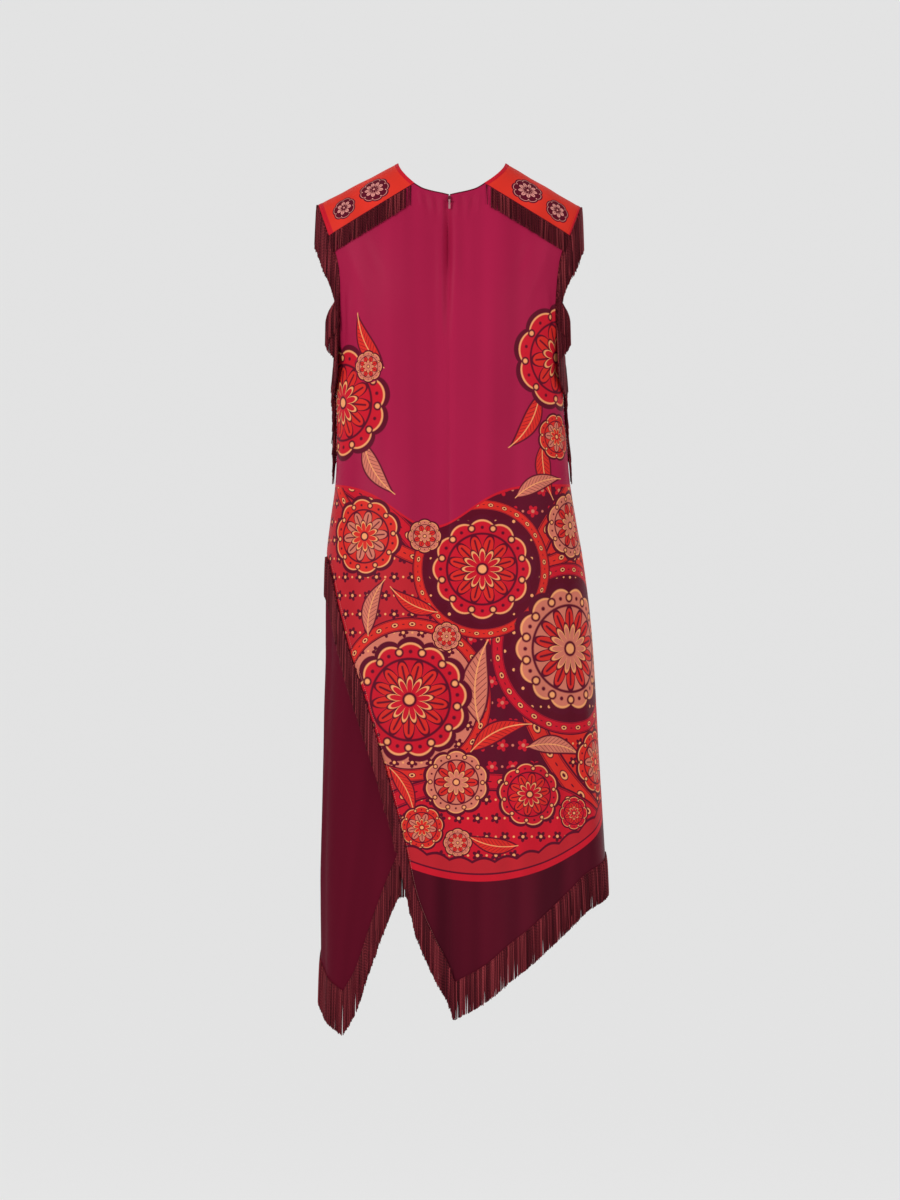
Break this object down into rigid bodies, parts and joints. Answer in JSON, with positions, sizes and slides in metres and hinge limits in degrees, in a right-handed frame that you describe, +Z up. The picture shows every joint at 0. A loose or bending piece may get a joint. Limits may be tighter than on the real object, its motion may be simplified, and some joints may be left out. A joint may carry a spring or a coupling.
{
  "type": "scarf dress",
  "caption": "Sleeveless scarf dress in its hollow worn form, with fringed shoulder yokes, armholes and slanting pointed hems.",
  "frame": {"origin": "midway between the two neck points of the shoulders, where the dress is held up", "axes": "+Z up, +Y out of the front, so the centre-back seam and zip face -Y; +X to the right of someone looking at the back"},
  "size_m": [0.4294, 0.259, 1.2739],
  "materials": {
    "raspberry_silk": "printed silk twill with a soft sheen",
    "burgundy_silk": "plain silk twill with a soft sheen",
    "vermilion_silk": "printed silk twill with a soft sheen",
    "fringe_yarn": "twisted silk strands",
    "zip_metal": "small polished zip metal"
  },
  "bodies": {
    "dress": {"back_left": "raspberry_silk", "back_right": "raspberry_silk", "front": "burgundy_silk", "yoke_left": "vermilion_silk", "yoke_right": "vermilion_silk", "fringe_yoke_back_left": "fringe_yarn", "fringe_yoke_front_left": "fringe_yarn", "fringe_shoulder_left": "fringe_yarn", "fringe_underarm_left": "fringe_yarn", "fringe_side_left": "fringe_yarn", "fringe_yoke_back_right": "fringe_yarn", "fringe_yoke_front_right": "fringe_yarn", "fringe_shoulder_right": "fringe_yarn", "fringe_underarm_right": "fringe_yarn", "fringe_side_right": "fringe_yarn", "fringe_slant": "fringe_yarn", "fringe_hem_back": "fringe_yarn", "fringe_hem_front": "fringe_yarn", "fringe_wrap_edge": "fringe_yarn", "zip_slider": "zip_metal"},
    "pull_tab": {"zip_pull_tab": "zip_metal"}
  },
  "joints": [
    {"name": "tab_swing", "type": "hinge", "parent": "dress", "child": "pull_tab", "pos_m": [0, -0.07632, -0.05706], "axis": [-1, 0, 0], "range_deg": [0, 150]}
  ]
}
